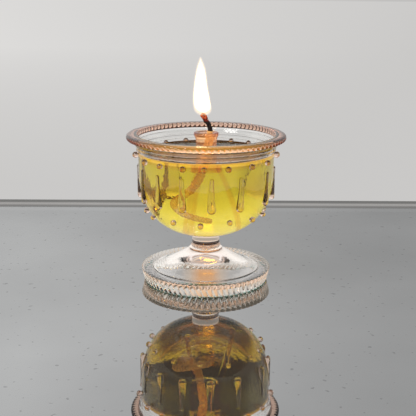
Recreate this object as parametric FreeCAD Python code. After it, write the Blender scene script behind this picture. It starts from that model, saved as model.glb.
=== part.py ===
import FreeCAD, Part
import math
import os

# A glass oil lamp: a footed bowl with drops, beads and ribbed bands of applied glass,
# oil in the bowl, and a cotton wick in a loose glass holder that stands on the bowl's floor.
# All lengths are in millimetres and all angles in degrees. Z points up, the front is -Y and
# the origin is the centre of the circle that the foot stands on.

# Heights of the goblet, each stage standing on the one before it
foot_rope_height = 6.7
dome_rise = 9.3
stem_ring_height = 2.2
stem_collar_height = 4.45
belly_height = 31.9
wall_height = 8.85
neck_height = 5.0
rim_height = 2.8

# Bowl
bowl_radius = 32.0
wall_thickness = 1.8
floor_thickness = 1.8
belly_fullness = 2.38
belly_steps = 10
neck_flare = 2.0
lip_rounding = 0.7

# Ribbed band round the rim
rim_width = 3.5
rim_rib_count = 90
rim_rib_depth = 0.45
rim_rib_lean = 1.1
rim_rib_stages = 1

# Threads of glass wound round the neck: section, how far they stand out, and their heights
# as shares of the neck's height
thread_radius = 0.75
thread_names = ("neck_thread_lower", "neck_thread_upper")
thread_height_shares = (0.18, 0.60)

# Beads in a row above the oil line, and their places round the bowl as shares of a turn
# from the front. The row isn't level: it is lower at the front and higher at the back.
upper_bead_radius = 1.4
upper_bead_drop = 2.2
upper_bead_lean = 0.8
upper_bead_sink = 0.15
upper_bead_turn_shares = (
    -0.240, -0.158, -0.106, -0.050, -0.004, 0.048, 0.105, 0.158, 0.248,
    0.297, 0.342, 0.388, 0.437, 0.494, 0.551, 0.606, 0.659, 0.710,
)

# Long drops that run down the wall, flattened against it, and their places round the bowl as
# shares of a turn
trail_length = 16.2
trail_top_radius = 1.1
trail_radius = 2.0
trail_flatness = 0.6
trail_drop = 7.2
trail_stand_off = 0.1
trail_end_stand_off = 0.85
trail_turn_shares = (
    -0.250, -0.183, -0.119, -0.055, 0.013, 0.081, 0.169,
    0.235, 0.306, 0.384, 0.453, 0.531, 0.601, 0.679,
)

# Beads low on the belly: each one's place round the bowl as a share of a turn, and its height
# over the bowl's lowest point as a share of the belly's height
lower_bead_radius = 1.35
lower_bead_sink = 0.35
lower_bead_places = (
    (-0.235, 0.386), (-0.172, 0.364), (-0.088, 0.376), (-0.014, 0.357), (0.062, 0.398),
    (0.137, 0.382), (0.197, 0.389), (0.268, 0.370), (0.345, 0.386), (0.419, 0.367),
    (0.492, 0.382), (0.566, 0.373), (0.640, 0.389), (0.711, 0.367),
)

# Stem
stem_collar_radius = 6.7
stem_waist = 0.2
stem_ring_radius = 7.1
stem_ring_rounding = 0.7

# Foot: a low bell inside a ribbed band that it stands on
foot_band_width = 3.2
foot_band_flare = 1.6
base_radius = 29.6
dome_shoulder = 0.5
dome_edge_thickness = 3.0
dome_crown_thickness = 6.0
dome_outline_shares = ((0.30, 0.58), (0.66, 0.20))
hollow_outline_shares = ((0.36, 0.82), (0.70, 0.34))
foot_rib_count = 72
foot_rib_depth = 0.8
foot_rib_lean = 2.6
foot_rib_stages = 4

# Oil and the room that the model leaves round what stands in it
oil_depth_below_rim = 9.4
oil_clearance = 0.25

# Loose wick holder: a short glass tube on three glass legs
tube_rise_over_rim = 0.5
tube_length = 17.0
tube_radius = 4.9
tube_bore_radius = 3.5
tube_lip_radius = 5.85
tube_lip_height = 4.2
tube_lip_rounding = 0.6
leg_radius = 1.0
leg_spread = 13.0
leg_foot_radius = 1.5
leg_top_drop = 2.6
leg_angles = (350.0, 110.0, 230.0)
floor_clearance = 0.4

# Cotton wick: leaning from side to side in the tube, bent where it burns, and a free end that
# curls round in the oil
wick_radius = 1.5
wick_clearance = 0.3
wick_lower_clearance = 0.65
wick_stub = 0.5
char_straight = 0.8
char_tip_across = -1.9
char_tip_rise = 9.5
bend_share = 0.45
tail_straight = 5.25
# The rest of the free end's route: places across and towards the back as shares of the bowl's
# inner radius, and depths as shares of the oil's depth under the tube
tail_route_shares = (
    (-0.295, -0.119, 0.365),
    (-0.445, -0.467, 0.405),
    (-0.287, -0.744, 0.551),
    (0.077, -0.736, 0.618),
)

# Flame, and the sideways places of its foot and tip
flame_height = 28.0
flame_radius = 4.4
flame_foot_below_tip = 2.4
flame_foot_across = -1.5
flame_tip_across = -2.9

# One overrun for every cut
overrun = 1.0

full_turn = 360.0
quarter_turn = 90.0
origin = FreeCAD.Vector(0, 0, 0)
up = FreeCAD.Vector(0, 0, 1)
outward = FreeCAD.Vector(1, 0, 0)

# Heights and radii that follow from the sizes above
dome_base = foot_rope_height
dome_top = dome_base + dome_rise
collar_base = dome_top + stem_ring_height
bowl_base = collar_base + stem_collar_height
belly_top = bowl_base + belly_height
neck_base = belly_top + wall_height
rim_base = neck_base + neck_height
rim_top = rim_base + rim_height
dome_radius = base_radius - foot_band_width
ledge_radius = base_radius + foot_band_flare
lip_radius = bowl_radius + neck_flare
rim_radius = lip_radius + rim_width
inner_radius = bowl_radius - wall_thickness
inner_base = bowl_base + floor_thickness
oil_level = rim_top - oil_depth_below_rim
tube_top = rim_top + tube_rise_over_rim
tube_base = tube_top - tube_length
wick_across = tube_bore_radius - wick_clearance - wick_radius
wick_low_across = wick_radius + wick_lower_clearance - tube_bore_radius
char_base = tube_top + wick_stub
tip_height = tube_top + char_tip_rise
wick_low_end = FreeCAD.Vector(wick_low_across, 0, tube_base)
wick_high_end = FreeCAD.Vector(wick_across, 0, char_base)
wick_along = (wick_high_end - wick_low_end).normalize()


def at(radius, height):
    """Point of a profile, at a distance from the axis."""
    return FreeCAD.Vector(radius, 0, height)


def line(start, end):
    return Part.makeLine(start, end)


def arc(start, middle, end):
    return Part.Arc(start, middle, end).toShape()


def smooth(points, start_along=None, end_along=None):
    """Smooth curve through points, with its direction given at both ends or at neither."""
    curve = Part.BSplineCurve()
    if start_along is None:
        curve.interpolate(Points=points)
    else:
        curve.interpolate(Points=points, InitialTangent=start_along, FinalTangent=end_along)
    return curve.toShape()


def spun(edges):
    """Solid made by turning a closed outline about the Z axis."""
    return Part.Face(Part.Wire(edges)).revolve(origin, up, full_turn)


def facing(shape, angle):
    """A shape made on the +X side, turned to an angle from the front, positive to the right."""
    turned = shape.copy()
    turned.rotate(origin, up, angle - quarter_turn)
    return turned


def belly_curve(radius, base):
    """The belly's rounded section, from its lowest point out and up to the straight wall."""
    points = []
    for step in range(belly_steps + 1):
        turn = math.radians(quarter_turn * step / belly_steps)
        across = radius * abs(math.sin(turn)) ** (2 / belly_fullness)
        depth = (belly_top - base) * abs(math.cos(turn)) ** (2 / belly_fullness)
        points.append(at(across, belly_top - depth))
    points[-1] = at(radius, belly_top)
    return smooth(points, outward, up)


def belly_place(height, radius, base):
    """Radius of the belly's surface at a height, and how steeply that surface faces down."""
    depth_share = max(0, (belly_top - height) / (belly_top - base))
    radius_share = (1 - depth_share ** belly_fullness) ** (1 / belly_fullness)
    slope = radius * depth_share ** (belly_fullness - 1)
    slope /= (belly_top - base) * radius_share ** (belly_fullness - 1)
    return radius * radius_share, math.atan(slope)


def floor_place(radius):
    """Height of the bowl's inner floor at a distance from the axis, and its slope there."""
    share = radius / inner_radius
    depth = (belly_top - inner_base) * (1 - share ** belly_fullness) ** (1 / belly_fullness)
    slope = (belly_top - inner_base) * share ** (belly_fullness - 1)
    slope /= inner_radius * (depth / (belly_top - inner_base)) ** (belly_fullness - 1)
    return belly_top - depth, math.atan(slope)


def neck_arc(radius):
    """Arc that leaves the straight wall and flares out to the rim, from the bottom up."""
    arc_radius = (neck_flare ** 2 + neck_height ** 2) / (2 * neck_flare)
    half_angle = math.atan(neck_flare / neck_height)
    middle = at(radius + arc_radius * (1 - math.cos(half_angle)),
                neck_base + arc_radius * math.sin(half_angle))
    return arc(at(radius, neck_base), middle, at(radius + neck_flare, rim_base))


def neck_radius(height):
    """Radius of the neck's outer surface at a height."""
    arc_radius = (neck_flare ** 2 + neck_height ** 2) / (2 * neck_flare)
    rise = height - neck_base
    return bowl_radius + arc_radius - math.sqrt(arc_radius ** 2 - rise ** 2)


def make_bowl_core():
    """The bowl's outer shape, filled. What is fused to the bowl is trimmed to it."""
    return spun([
        belly_curve(bowl_radius, bowl_base),
        line(at(bowl_radius, belly_top), at(bowl_radius, neck_base)),
        neck_arc(bowl_radius),
        line(at(lip_radius, rim_base), at(lip_radius, rim_top)),
        line(at(lip_radius, rim_top), at(0, rim_top)),
        line(at(0, rim_top), at(0, bowl_base)),
    ])


def make_bowl():
    mouth_radius = inner_radius + neck_flare
    rounding_end = at(mouth_radius + lip_rounding, rim_top)
    rounding_side = lip_rounding * math.sin(math.radians(quarter_turn / 2))
    return spun([
        belly_curve(bowl_radius, bowl_base),
        line(at(bowl_radius, belly_top), at(bowl_radius, neck_base)),
        neck_arc(bowl_radius),
        line(at(lip_radius, rim_base), at(lip_radius, rim_top)),
        line(at(lip_radius, rim_top), rounding_end),
        arc(rounding_end,
            at(mouth_radius + lip_rounding - rounding_side,
               rim_top - lip_rounding + rounding_side),
            at(mouth_radius, rim_top - lip_rounding)),
        line(at(mouth_radius, rim_top - lip_rounding), at(mouth_radius, rim_base)),
        neck_arc(inner_radius),
        line(at(inner_radius, neck_base), at(inner_radius, belly_top)),
        belly_curve(inner_radius, inner_base),
        line(at(0, inner_base), at(0, bowl_base)),
    ])


def ribbed_loop(count, radius, depth, height, turn):
    """Closed loop of one outward arc for each rib, turned by an angle about the axis."""
    pitch = full_turn / count

    def corner(step, distance):
        angle = math.radians(pitch * step + turn)
        return FreeCAD.Vector(distance * math.cos(angle), distance * math.sin(angle), height)

    edges = []
    for rib in range(count):
        valley = corner(rib - 1 / 2, radius - depth)
        crest = corner(rib, radius)
        next_valley = corner(rib + 1 / 2, radius - depth)
        edges.append(arc(valley, crest, next_valley))
    return Part.Wire(edges)


def ribbed_band(count, depth, lean, stages, low_radius, high_radius, bore_radius, base, height):
    """Band with a plain bore and round ribs outside, which lean left going up."""
    turn = -math.degrees(lean / high_radius)
    loops = []
    for stage in range(stages + 1):
        share = stage / stages
        radius = low_radius + (high_radius - low_radius) * share
        loops.append(ribbed_loop(count, radius, depth, base + height * share, turn * share))
    outside = Part.makeLoft(loops, True, True)
    bore = Part.makeCylinder(bore_radius, height + 2 * overrun, at(0, base - overrun))
    return outside.cut(bore)


def make_rim_rope():
    return ribbed_band(rim_rib_count, rim_rib_depth, rim_rib_lean, rim_rib_stages,
                       rim_radius, rim_radius, lip_radius, rim_base, rim_height)


def make_foot_rope():
    return ribbed_band(foot_rib_count, foot_rib_depth, foot_rib_lean, foot_rib_stages,
                       base_radius, ledge_radius, dome_radius, 0, foot_rope_height)


def make_neck_thread(height_share, bowl_core):
    height = neck_base + neck_height * height_share
    ring = Part.makeTorus(neck_radius(height), thread_radius, at(0, height))
    return ring.cut(bowl_core)


def make_upper_beads(bowl_core):
    beads = []
    for turn_share in upper_bead_turn_shares:
        towards_front = math.cos(math.radians(full_turn * turn_share))
        height = neck_base - upper_bead_drop - upper_bead_lean * towards_front
        centre = at(bowl_radius + upper_bead_radius - upper_bead_sink, height)
        bead = Part.makeSphere(upper_bead_radius, centre).cut(bowl_core)
        beads.append(facing(bead, full_turn * turn_share))
    return Part.makeCompound(beads)


def make_lower_beads(bowl_core):
    stand_off = lower_bead_radius - lower_bead_sink
    beads = []
    for turn_share, height_share in lower_bead_places:
        height = bowl_base + belly_height * height_share
        radius, tilt = belly_place(height, bowl_radius, bowl_base)
        centre = at(radius + stand_off * math.cos(tilt), height - stand_off * math.sin(tilt))
        bead = Part.makeSphere(lower_bead_radius, centre).cut(bowl_core)
        beads.append(facing(bead, full_turn * turn_share))
    return Part.makeCompound(beads)


def polar(centre, distance, angle):
    """Point of a profile at a distance and an angle, in radians, from another."""
    return centre + at(distance * math.cos(angle), distance * math.sin(angle))


def make_drop_blank():
    """A long drop before it meets the wall: a cone between two balls, flattened front to back."""
    top_centre = at(0, -trail_top_radius)
    end_centre = at(0, trail_radius - trail_length)
    taper = math.asin((trail_radius - trail_top_radius) / (top_centre - end_centre).Length)
    right_angle = math.radians(quarter_turn)
    top_side = polar(top_centre, trail_top_radius, taper)
    end_side = polar(end_centre, trail_radius, taper)
    drop = spun([
        arc(origin, polar(top_centre, trail_top_radius, (right_angle + taper) / 2), top_side),
        line(top_side, end_side),
        arc(end_side, polar(end_centre, trail_radius, (taper - right_angle) / 2),
            at(0, -trail_length)),
        line(at(0, -trail_length), origin),
    ])
    flattening = FreeCAD.Matrix()
    flattening.scale(FreeCAD.Vector(trail_flatness, 1, 1))
    return drop.transformGeometry(flattening)


def make_drop_trail(turn_share, drop_blank, bowl_core):
    """One long drop, leaning in with the wall and trimmed to it."""
    drop = drop_blank.copy()
    top = neck_base - trail_drop
    end_height = top - trail_length + trail_radius
    wall_there, tilt = belly_place(end_height, bowl_radius, bowl_base)
    top_radius = bowl_radius + trail_stand_off
    end_radius = wall_there + trail_end_stand_off
    lean = math.degrees(math.atan((top_radius - end_radius) / (top - end_height)))
    drop.rotate(origin, FreeCAD.Vector(0, 1, 0), lean)
    drop.translate(at(top_radius, top))
    return facing(drop.cut(bowl_core), full_turn * turn_share)


def make_stem_collar(bowl_core):
    waist_height = collar_base + stem_collar_height / 2
    top_height = bowl_base + floor_thickness
    edge_radius = stem_collar_radius - stem_waist / 2
    collar = spun([
        line(at(0, collar_base), at(edge_radius, collar_base)),
        arc(at(edge_radius, collar_base),
            at(stem_collar_radius - stem_waist, waist_height),
            at(stem_collar_radius, top_height)),
        line(at(stem_collar_radius, top_height), at(0, top_height)),
        line(at(0, top_height), at(0, collar_base)),
    ])
    return collar.cut(bowl_core)


def make_stem_ring():
    edge_radius = stem_ring_radius - stem_ring_rounding
    return spun([
        line(at(0, dome_top), at(edge_radius, dome_top)),
        arc(at(edge_radius, dome_top),
            at(stem_ring_radius, dome_top + stem_ring_height / 2),
            at(edge_radius, collar_base)),
        line(at(edge_radius, collar_base), at(0, collar_base)),
        line(at(0, collar_base), at(0, dome_top)),
    ])


def make_foot_dome():
    """Low hollow bell. Its edge is fused inside the ribbed band that it stands on."""
    shoulder_radius = stem_ring_radius + dome_shoulder
    reach = dome_radius - shoulder_radius
    outer = [at(shoulder_radius, dome_top)]
    outer += [at(shoulder_radius + reach * across, dome_base + dome_rise * rise)
              for across, rise in dome_outline_shares]
    outer.append(at(dome_radius, dome_base))
    edge_base = dome_base - dome_edge_thickness
    hollow_rise = dome_top - dome_crown_thickness - edge_base
    inner = [at(0, edge_base + hollow_rise)]
    inner += [at(dome_radius * across, edge_base + hollow_rise * rise)
              for across, rise in hollow_outline_shares]
    inner.append(at(dome_radius, edge_base))
    return spun([
        line(at(0, dome_top), outer[0]),
        smooth(outer),
        line(outer[-1], inner[-1]),
        smooth(inner),
        line(inner[0], at(0, dome_top)),
    ])


def make_tube_blank():
    """The wick tube's outer shape, filled."""
    lip_base = tube_top - tube_lip_height
    lip_edge = tube_top - tube_lip_rounding
    flat_radius = tube_lip_radius - tube_lip_rounding
    rounding_side = tube_lip_rounding * math.sin(math.radians(quarter_turn / 2))
    return spun([
        line(at(0, tube_base), at(tube_radius, tube_base)),
        line(at(tube_radius, tube_base), at(tube_radius, lip_base)),
        smooth([at(tube_radius, lip_base), at(tube_lip_radius, lip_edge)], up, up),
        arc(at(tube_lip_radius, lip_edge),
            at(flat_radius + rounding_side, lip_edge + rounding_side),
            at(flat_radius, tube_top)),
        line(at(flat_radius, tube_top), at(0, tube_top)),
        line(at(0, tube_top), at(0, tube_base)),
    ])


def make_wick_tube():
    bore = Part.makeCylinder(tube_bore_radius, tube_length + 2 * overrun,
                             at(0, tube_base - overrun))
    return make_tube_blank().cut(bore)


def make_leg(angle, growth):
    """One leg of the holder, thicker all round by the given growth."""
    floor_height, slope = floor_place(leg_spread)
    stand_off = leg_foot_radius + floor_clearance
    foot = at(leg_spread - stand_off * math.sin(slope), floor_height + stand_off * math.cos(slope))
    top = at(tube_radius - leg_radius, tube_base + leg_top_drop)
    rod = Part.makeCylinder(leg_radius + growth, (top - foot).Length, foot, top - foot)
    leg = rod.fuse(Part.makeSphere(leg_foot_radius + growth, foot))
    leg.rotate(origin, up, angle)
    return leg


def make_holder_leg(angle):
    top_blank = Part.makeCylinder(tube_radius, tube_length + 2 * overrun, at(0, tube_base))
    return make_leg(angle, 0).cut(top_blank)


def rounded_path(points):
    """Wire of straight runs joined by tangent arcs, and the arcs' radii."""
    edges = []
    radii = []
    start = points[0]
    for before, corner, after in zip(points, points[1:], points[2:]):
        arriving = (corner - before).normalize()
        leaving = (after - corner).normalize()
        half_turn = arriving.getAngle(leaving) / 2
        reach = bend_share * min((corner - before).Length, (after - corner).Length)
        radius = reach / math.tan(half_turn)
        arc_start = corner - arriving * reach
        arc_end = corner + leaving * reach
        inward = (leaving - arriving).normalize()
        middle = corner + inward * (radius / math.cos(half_turn) - radius)
        edges += [line(start, arc_start), arc(arc_start, middle, arc_end)]
        radii.append(radius)
        start = arc_end
    edges.append(line(start, points[-1]))
    return Part.Wire(edges), radii


def round_tube(path, radius, start, along):
    """Round bar that follows a path from its start."""
    section = Part.Wire(Part.makeCircle(radius, start, along))
    return path.makePipeShell([section], True, True)


def make_wick():
    """The straight length of the wick, from the tube's lower end to just over its lip."""
    length = (wick_high_end - wick_low_end).Length
    return Part.makeCylinder(wick_radius, length, wick_low_end, wick_along)


def make_wick_char(growth):
    """The burnt end of the wick, thicker all round by the given growth."""
    points = [
        wick_high_end,
        wick_high_end + wick_along * char_straight,
        FreeCAD.Vector(char_tip_across, 0, tip_height - wick_radius),
    ]
    path = rounded_path(points)[0]
    bar = round_tube(path, wick_radius + growth, points[0], wick_along)
    return bar.fuse(Part.makeSphere(wick_radius + growth, points[-1]))


def tail_points():
    """Corners of the free end's route, from the tube's lower end."""
    points = [wick_low_end, wick_low_end - wick_along * tail_straight]
    for across, back, depth in tail_route_shares:
        points.append(FreeCAD.Vector(inner_radius * across, inner_radius * back,
                                     tube_base + (inner_base - tube_base) * depth))
    return points


def make_wick_tail(growth):
    """The free end of the wick, thicker all round by the given growth."""
    points = tail_points()
    path, radii = rounded_path(points)
    tail = round_tube(path, wick_radius + growth, points[0], wick_along)
    if growth == 0:
        volume = math.pi * wick_radius ** 2 * path.Length
        print("wick tail: length", round(path.Length, 2), "bend radii",
              [round(radius, 1) for radius in radii], "volume share of section by length",
              round(tail.Volume / volume, 4))
    return tail


def make_oil():
    """Oil up to its level, with room round the holder and the wick that stand in it."""
    oil = spun([
        belly_curve(inner_radius, inner_base),
        line(at(inner_radius, belly_top), at(inner_radius, oil_level)),
        line(at(inner_radius, oil_level), at(0, oil_level)),
        line(at(0, oil_level), at(0, inner_base)),
    ])
    room = Part.makeCylinder(tube_radius + oil_clearance, tube_length + 2 * oil_clearance,
                             at(0, tube_base - oil_clearance))
    for angle in leg_angles:
        room = room.fuse(make_leg(angle, oil_clearance))
    room = room.fuse(make_wick_tail(oil_clearance))
    room = room.fuse(Part.makeSphere(wick_radius + oil_clearance, tail_points()[-1]))
    return oil.cut(room)


def make_flame():
    """Teardrop of flame that leans a little and leaves room for the wick's tip."""
    base = tip_height - flame_foot_below_tip
    foot_centre = at(0, flame_radius)
    widest = at(flame_radius, flame_radius)
    tip = at(0, flame_height)
    side_height = flame_height - flame_radius
    side_radius = (side_height ** 2 + flame_radius ** 2) / (2 * flame_radius)
    half_angle = math.asin(side_height / side_radius) / 2
    side_centre = at(flame_radius - side_radius, flame_radius)
    side = Part.Arc(widest, polar(side_centre, side_radius, half_angle), tip)
    flame = spun([
        arc(origin, polar(foot_centre, flame_radius, -math.radians(quarter_turn / 2)), widest),
        side.toBSpline().toShape(),
        line(tip, origin),
    ])
    lean = math.degrees(math.atan((flame_tip_across - flame_foot_across) / flame_height))
    flame.rotate(origin, FreeCAD.Vector(0, 1, 0), lean)
    flame.translate(at(flame_foot_across, base))
    return flame.cut(make_wick_char(wick_clearance))


def make_parts():
    bowl_core = make_bowl_core()
    parts = {
        "bowl": make_bowl(),
        "rim_rope": make_rim_rope(),
        "upper_beads": make_upper_beads(bowl_core),
        "lower_beads": make_lower_beads(bowl_core),
        "stem_collar": make_stem_collar(bowl_core),
        "stem_ring": make_stem_ring(),
        "foot_dome": make_foot_dome(),
        "foot_rope": make_foot_rope(),
        "wick_tube": make_wick_tube(),
        "wick": make_wick(),
        "wick_char": make_wick_char(0),
        "wick_tail": make_wick_tail(0),
        "oil": make_oil(),
        "flame": make_flame(),
    }
    for name, share in zip(thread_names, thread_height_shares):
        parts[name] = make_neck_thread(share, bowl_core)
    drop_blank = make_drop_blank()
    for number, share in enumerate(trail_turn_shares, 1):
        parts[f"drop_trail_{number:02d}"] = make_drop_trail(share, drop_blank, bowl_core)
    for number, angle in enumerate(leg_angles, 1):
        parts[f"holder_leg_{number}"] = make_holder_leg(angle)
    return parts


os.makedirs("parts", exist_ok=True)
for name, shape in make_parts().items():
    shape.exportStep(f"parts/{name}.step")
    print(name, "solids", len(shape.Solids), "valid", shape.isValid(),
          "volume", round(shape.Volume, 1))
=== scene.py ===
import math

import bmesh
import bpy
import numpy as np
from mathutils import Matrix, Vector, noise


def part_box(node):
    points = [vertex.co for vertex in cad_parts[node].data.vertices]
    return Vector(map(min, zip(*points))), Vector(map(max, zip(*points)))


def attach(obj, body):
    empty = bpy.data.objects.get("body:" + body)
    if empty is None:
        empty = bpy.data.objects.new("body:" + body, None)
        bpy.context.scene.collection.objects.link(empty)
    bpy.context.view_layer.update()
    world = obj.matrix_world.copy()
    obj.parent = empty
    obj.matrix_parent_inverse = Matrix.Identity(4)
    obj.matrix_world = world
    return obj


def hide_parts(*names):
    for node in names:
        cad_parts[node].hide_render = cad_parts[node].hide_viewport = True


# A glass oil lamp with its wick alight. Lengths are in millimetres until a mesh is made, when
# they become metres. Z points up, the front is -Y and the origin is under the foot's middle.

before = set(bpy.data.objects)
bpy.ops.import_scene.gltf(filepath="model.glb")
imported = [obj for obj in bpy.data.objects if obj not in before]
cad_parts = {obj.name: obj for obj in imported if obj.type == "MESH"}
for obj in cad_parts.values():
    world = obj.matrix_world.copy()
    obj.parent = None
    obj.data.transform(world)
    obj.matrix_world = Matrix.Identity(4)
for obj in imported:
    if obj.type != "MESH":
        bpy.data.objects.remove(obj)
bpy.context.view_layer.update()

METRE = 0.001

# Sizes that the construction source has too
bowl_radius = 32.0
bowl_base = 22.65
belly_top = 54.55
belly_fullness = 2.38
neck_base = 63.4
neck_height = 5.0
neck_flare = 2.0
rim_base = 68.4
rim_top = 71.2
rim_radius = 37.5
rim_ribs = 90
rim_rib_lean = 1.1
wall_thickness = 1.8
inner_radius = bowl_radius - wall_thickness
inner_base = 24.45
oil_level = 61.8
dome_top = 16.0
dome_radius = 26.4
foot_top = 6.7
foot_ribs = 72
foot_rib_depth = 0.8
foot_rib_lean = 2.6
foot_high_radius = 31.2
ring_top = 18.2
collar_radius = 6.7
tube_top = 71.7
tube_base = 54.7
tube_radius = 4.9
tube_bore = 3.5
tube_lip = 5.85
wick_across = 1.7
wick_low_across = -1.35
char_base = 72.2
leg_angles = (350.0, 110.0, 230.0)
leg_spread = 13.0
leg_radius = 1.0
leg_foot_radius = 1.5
thread_radius = 0.75
trail_top = 56.2
trail_length = 16.2
trail_top_radius = 1.1
trail_radius = 2.0
trail_flatness = 0.6
trail_stand_off = 0.1
trail_end_stand_off = 0.85
trail_turns = (
    -0.250, -0.183, -0.119, -0.055, 0.013, 0.081, 0.169,
    0.235, 0.306, 0.384, 0.453, 0.531, 0.601, 0.679,
)
upper_bead_radius = 1.4
upper_bead_drop = 2.2
upper_bead_lean = 0.8
upper_bead_turns = (
    -0.240, -0.158, -0.106, -0.050, -0.004, 0.048, 0.105, 0.158, 0.248,
    0.297, 0.342, 0.388, 0.437, 0.494, 0.551, 0.606, 0.659, 0.710,
)
lower_bead_radius = 1.35
lower_bead_places = (
    (-0.235, 34.96), (-0.172, 34.26), (-0.088, 34.64), (-0.014, 34.04), (0.062, 35.35),
    (0.137, 34.84), (0.197, 35.06), (0.268, 34.45), (0.345, 34.96), (0.419, 34.36),
    (0.492, 34.84), (0.566, 34.55), (0.640, 35.06), (0.711, 34.36),
)
tail_route = (
    (-1.35, 0.0, 54.7),
    (-2.45, 0.0, 48.40),
    (-8.91, -3.59, 43.66),
    (-13.44, -14.10, 42.45),
    (-8.67, -22.47, 38.03),
    (2.33, -22.23, 36.0),
)
wick_radius = 1.5

# How far one fused piece of glass reaches into the next, and the oil into the wall
fused = 0.03
oil_overlap = 0.3

# How far the oil is drawn up at the wall, and how soon that falls off
oil_climb = 0.8
oil_climb_fall = 0.7

# How deep the valleys between a cord's plies are and how much narrower its ends get, as shares of
# its size, and how long those ends are
ply_depth = 0.16
end_narrowing = 0.18
end_length = 0.35

# Camera, first of all
camera_place = (0.0, -0.4074, 0.14059)
camera_lens = 76.05
camera_pitch = 75.46
camera_pan = -0.14
camera_roll = 0.30

camera_data = bpy.data.cameras.new("camera")
camera_data.lens = camera_lens
camera_data.sensor_width = 36
camera_data.clip_start = 0.01
camera = bpy.data.objects.new("camera", camera_data)
turning = (Matrix.Rotation(math.radians(camera_pan), 4, "Z")
           @ Matrix.Rotation(math.radians(camera_pitch), 4, "X")
           @ Matrix.Rotation(math.radians(camera_roll), 4, "Z"))
camera.matrix_world = Matrix.Translation(camera_place) @ turning
bpy.context.scene.collection.objects.link(camera)
bpy.context.scene.camera = camera


# Colours that several pieces have, and how much oil bends light
clear = (0.985, 0.99, 0.985)
white = (1.0, 1.0, 1.0)
black = (0.0, 0.0, 0.0)
oil_index = 1.47


class Nodes:
    """A node tree that is written in a few short calls."""

    def __init__(self, tree):
        self.tree = tree
        tree.nodes.clear()

    def add(self, kind, values=None, **settings):
        """New node of a kind, with socket values or links by socket name or number. A colour is
        given by its red, green and blue."""
        made = self.tree.nodes.new(kind)
        for name, value in settings.items():
            setattr(made, name, value)
        for name, value in (values or {}).items():
            socket = made.inputs[name]
            if isinstance(value, bpy.types.NodeSocket):
                self.tree.links.new(value, socket)
            else:
                socket.default_value = (*value, 1.0) if socket.type == "RGBA" else value
        return made

    def math(self, operation, first, second=0.0):
        made = self.add("ShaderNodeMath", {0: first, 1: second}, operation=operation)
        return made.outputs[0]

    def times(self, first, *others):
        """Product of numbers."""
        for other in others:
            first = self.math("MULTIPLY", first, other)
        return first

    def tinted(self, first, second):
        """Product of two colours."""
        made = self.add("ShaderNodeVectorMath", {0: first, 1: second}, operation="MULTIPLY")
        return made.outputs[0]

    def blend(self, share, first, second):
        """Colour that goes from the first to the second as the share goes from 0 to 1."""
        made = self.add("ShaderNodeMix", {0: share, 6: first, 7: second}, data_type="RGBA")
        return made.outputs[2]

    def parts(self, place=None, scale=1 / METRE):
        """X, Y and Z of a place, in millimetres. Unless one is given it is that of the surface
        in its piece."""
        place = place or self.add("ShaderNodeTexCoord").outputs["Object"]
        scaled = self.add("ShaderNodeVectorMath", {0: place, "Scale": scale}, operation="SCALE")
        return self.add("ShaderNodeSeparateXYZ", {0: scaled.outputs[0]}).outputs

    def length(self, x, y, z=0.0):
        """Length of the vector that has these parts."""
        vector = self.add("ShaderNodeCombineXYZ", {0: x, 1: y, 2: z}).outputs[0]
        return self.add("ShaderNodeVectorMath", {0: vector}, operation="LENGTH").outputs[1]

    def noise(self, scale, detail, vector=None, stretch=None):
        """Noise in the piece's own place, in metres, stretched along the axes if asked."""
        place = vector or self.add("ShaderNodeTexCoord").outputs["Object"]
        if stretch:
            place = self.add("ShaderNodeMapping", {"Vector": place, "Scale": stretch}).outputs[0]
        made = self.add("ShaderNodeTexNoise", {"Vector": place, "Scale": scale, "Detail": detail})
        return made.outputs["Fac"]

    def ramp(self, factor, stops):
        """Colour ramp from a list of (place, colour)."""
        made = self.add("ShaderNodeValToRGB", {0: factor})
        elements = made.color_ramp.elements
        while len(elements) < len(stops):
            elements.new(1.0)
        for element, (place, colour) in zip(elements, stops):
            element.position = place
            element.color = (*colour, 1.0)
        return made.outputs[0]

    def spread(self, value, low, high, new_low=0.0, new_high=1.0):
        """The value's place between low and high, kept between new_low and new_high."""
        made = self.add("ShaderNodeMapRange", {
            "Value": value, "From Min": low, "From Max": high,
            "To Min": new_low, "To Max": new_high})
        return made.outputs[0]

    def bump(self, height, strength, distance):
        made = self.add("ShaderNodeBump", {
            "Height": height, "Strength": strength, "Distance": distance * METRE})
        return made.outputs[0]

    def mixed(self, share, first, second):
        """Shader between two shaders."""
        return self.add("ShaderNodeMixShader", {
            0: share, 1: first.outputs[0], 2: second.outputs[0]})

    def rays(self):
        """Whether a ray comes straight from the eye, through glass, or from the eye at all."""
        path = self.add("ShaderNodeLightPath").outputs
        straight, through = path["Is Camera Ray"], path["Is Transmission Ray"]
        looked_at = self.math("MAXIMUM", straight,
                              self.math("MAXIMUM", path["Is Glossy Ray"], through))
        return straight, through, looked_at

    def out(self, surface, volume=None, kind="ShaderNodeOutputMaterial"):
        made = self.add(kind, {"Surface": surface.outputs[0]})
        if volume:
            self.tree.links.new(volume.outputs[0], made.inputs["Volume"])


def new_material(name):
    material = bpy.data.materials.new(name)
    material.use_nodes = True
    return material, Nodes(material.node_tree)


def let_light_through(nodes, shader, tint):
    """Clear pieces that lamps and soft light pass straight through, and that the eye sees bent."""
    path = nodes.add("ShaderNodeLightPath").outputs
    passing = nodes.math("MAXIMUM", path["Is Shadow Ray"], path["Is Diffuse Ray"])
    plain = nodes.add("ShaderNodeBsdfTransparent", {"Color": tint})
    return nodes.mixed(passing, shader, plain)


def sunk_index(nodes, below, above):
    """Refractive index that changes at the oil's level, for what stands partly in the oil."""
    height = nodes.parts(nodes.add("ShaderNodeNewGeometry").outputs["Position"])[2]
    out_of_oil = nodes.math("GREATER_THAN", height, oil_level)
    return nodes.spread(out_of_oil, 0.0, 1.0, below, above)


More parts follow.
